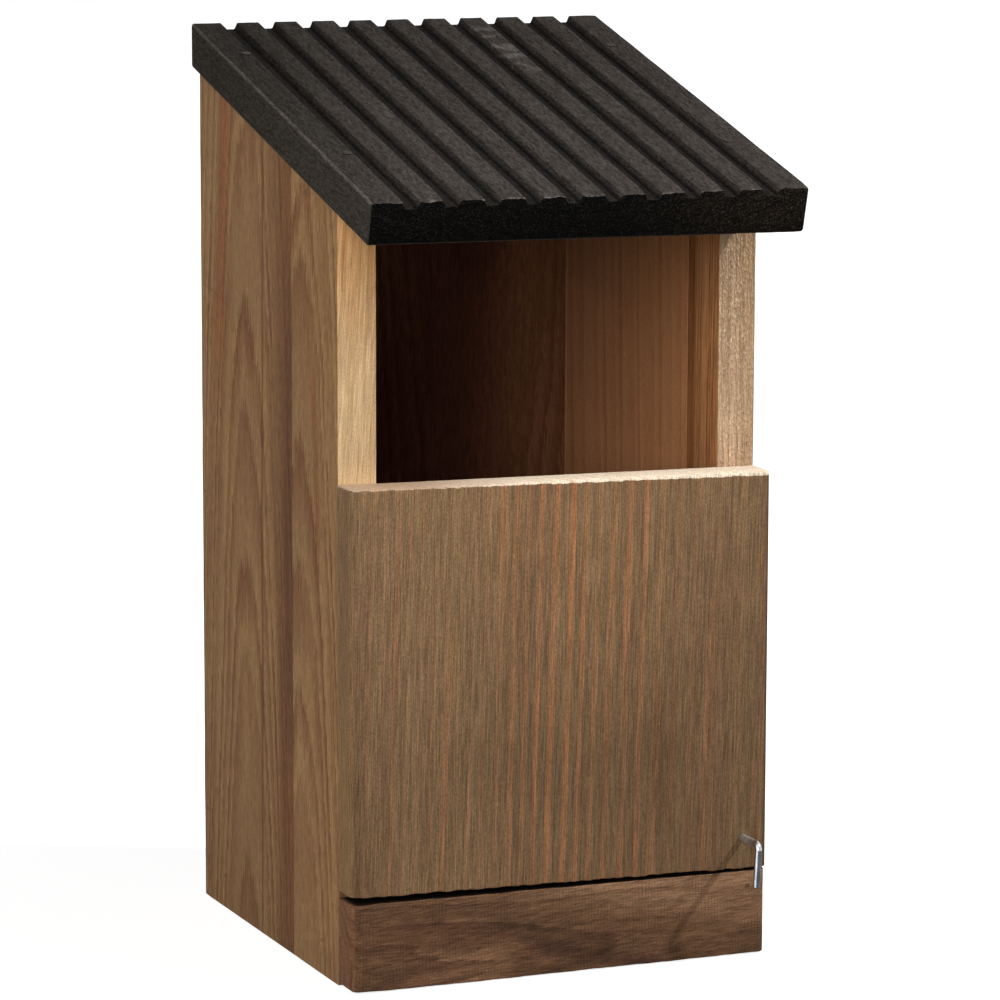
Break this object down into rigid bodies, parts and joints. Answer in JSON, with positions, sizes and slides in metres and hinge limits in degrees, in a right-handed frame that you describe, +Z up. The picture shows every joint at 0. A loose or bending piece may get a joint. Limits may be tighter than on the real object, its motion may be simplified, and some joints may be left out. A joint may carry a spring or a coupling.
{
  "type": "bird nest box",
  "caption": "Tall half-open wooden bird nest box with a ribbed black lean-to roof, glued-up side walls and a lift-off front panel held by a bent wire screw hook.",
  "frame": {"origin": "on the ground, under the middle of the whole box", "axes": "+Z up, +Y to the back where the box hangs, +X to the right seen from the front"},
  "size_m": [0.164, 0.1862, 0.3299],
  "materials": {
    "black_stained_pine": "matt black wood stain",
    "brown_stained_pine": "thin brown wood stain, sawn faces bare",
    "beech_dowel": "bare",
    "bright_zinc_wire": "bright zinc plated",
    "zinc_plate": "zinc plated",
    "steel_fasteners": "plain wire, stained over"
  },
  "bodies": {
    "box": {"roof_board": "black_stained_pine", "left_wall_front_stave": "brown_stained_pine", "left_wall_rear_stave": "brown_stained_pine", "right_wall_front_stave": "brown_stained_pine", "right_wall_rear_stave": "brown_stained_pine", "back_board": "brown_stained_pine", "floor_board": "brown_stained_pine", "front_rail": "brown_stained_pine", "locating_dowels": "beech_dowel", "roof_nails": "steel_fasteners", "left_back_brads": "steel_fasteners", "right_back_brads": "steel_fasteners", "left_floor_brads": "steel_fasteners", "right_floor_brads": "steel_fasteners", "rail_brads": "steel_fasteners", "hanger_plate": "zinc_plate", "hanger_screws": "zinc_plate"},
    "panel": {"front_panel": "brown_stained_pine"},
    "hook": {"turn_hook": "bright_zinc_wire"}
  },
  "joints": [
    {"name": "panel_pull", "type": "slide", "parent": "box", "child": "panel", "axis": [0, -1, 0], "range_m": [0, 0.06]},
    {"name": "hook_turn", "type": "hinge", "parent": "panel", "child": "hook", "pos_m": [0.0703, -0.06875, 0.0436], "axis": [0, -1, 0], "continuous": true}
  ]
}
